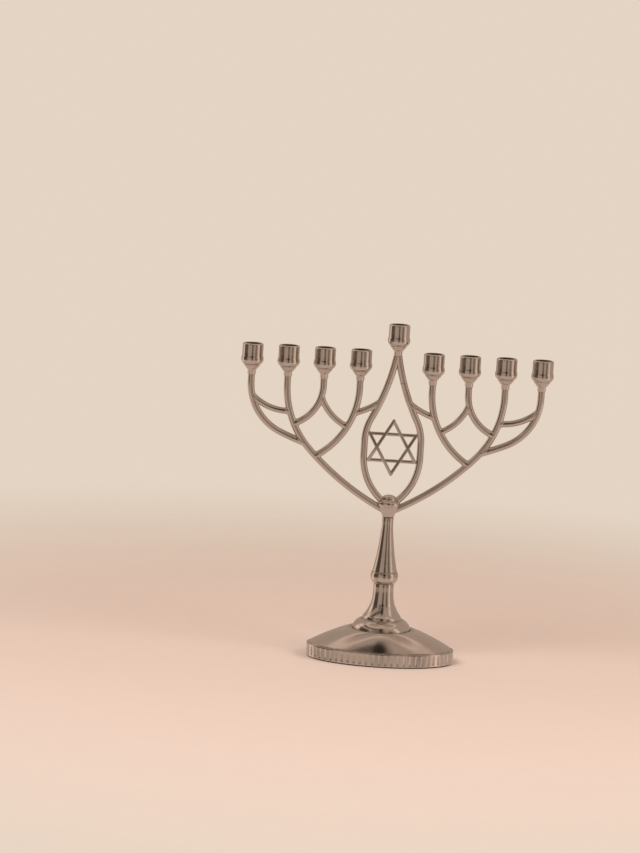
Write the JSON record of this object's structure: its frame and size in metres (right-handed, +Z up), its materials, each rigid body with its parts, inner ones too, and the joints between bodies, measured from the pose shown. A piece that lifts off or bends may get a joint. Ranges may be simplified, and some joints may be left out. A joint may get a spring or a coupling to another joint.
{
  "type": "menorah",
  "caption": "Polished metal menorah with an oval reeded foot, turned column, curved branches, candle cups, a raised servant cup and a six-pointed star in a teardrop.",
  "frame": {"origin": "middle of the felt under the foot", "axes": "+Z up, +X along the row of candles, +Y to the back"},
  "size_m": [0.2096, 0.0602, 0.2286],
  "materials": {
    "cup_plate": "mirror-polished nickel plate",
    "branch_plate": "mirror-polished nickel plate",
    "column_plate": "mirror-polished nickel plate",
    "foot_plate": "mirror-polished nickel plate",
    "hardboard": "pressed brown board",
    "felt": "black wool felt",
    "plain_steel": "zinc-plated steel"
  },
  "bodies": {
    "root": {"candle_cup_1": "cup_plate", "candle_cup_2": "cup_plate", "candle_cup_3": "cup_plate", "candle_cup_4": "cup_plate", "candle_cup_5": "cup_plate", "candle_cup_6": "cup_plate", "candle_cup_7": "cup_plate", "candle_cup_8": "cup_plate", "servant_cup": "cup_plate", "main_arm_left": "branch_plate", "outer_arm_left": "branch_plate", "third_arm_left": "branch_plate", "inner_arm_left": "branch_plate", "outer_strut_left": "branch_plate", "arch_strut_left": "branch_plate", "drop_strut_left": "branch_plate", "teardrop_leg_left": "branch_plate", "main_arm_right": "branch_plate", "outer_arm_right": "branch_plate", "third_arm_right": "branch_plate", "inner_arm_right": "branch_plate", "outer_strut_right": "branch_plate", "arch_strut_right": "branch_plate", "drop_strut_right": "branch_plate", "teardrop_leg_right": "branch_plate", "star_of_david": "branch_plate", "bell_foot": "column_plate", "knop_ring": "column_plate", "upper_stem": "column_plate", "hub": "column_plate", "base_dome": "foot_plate", "base_board": "hardboard", "felt_pad": "felt", "tie_rod": "plain_steel", "tie_washer": "plain_steel", "tie_nut": "plain_steel", "cup_studs": "plain_steel"}
  },
  "joints": []
}
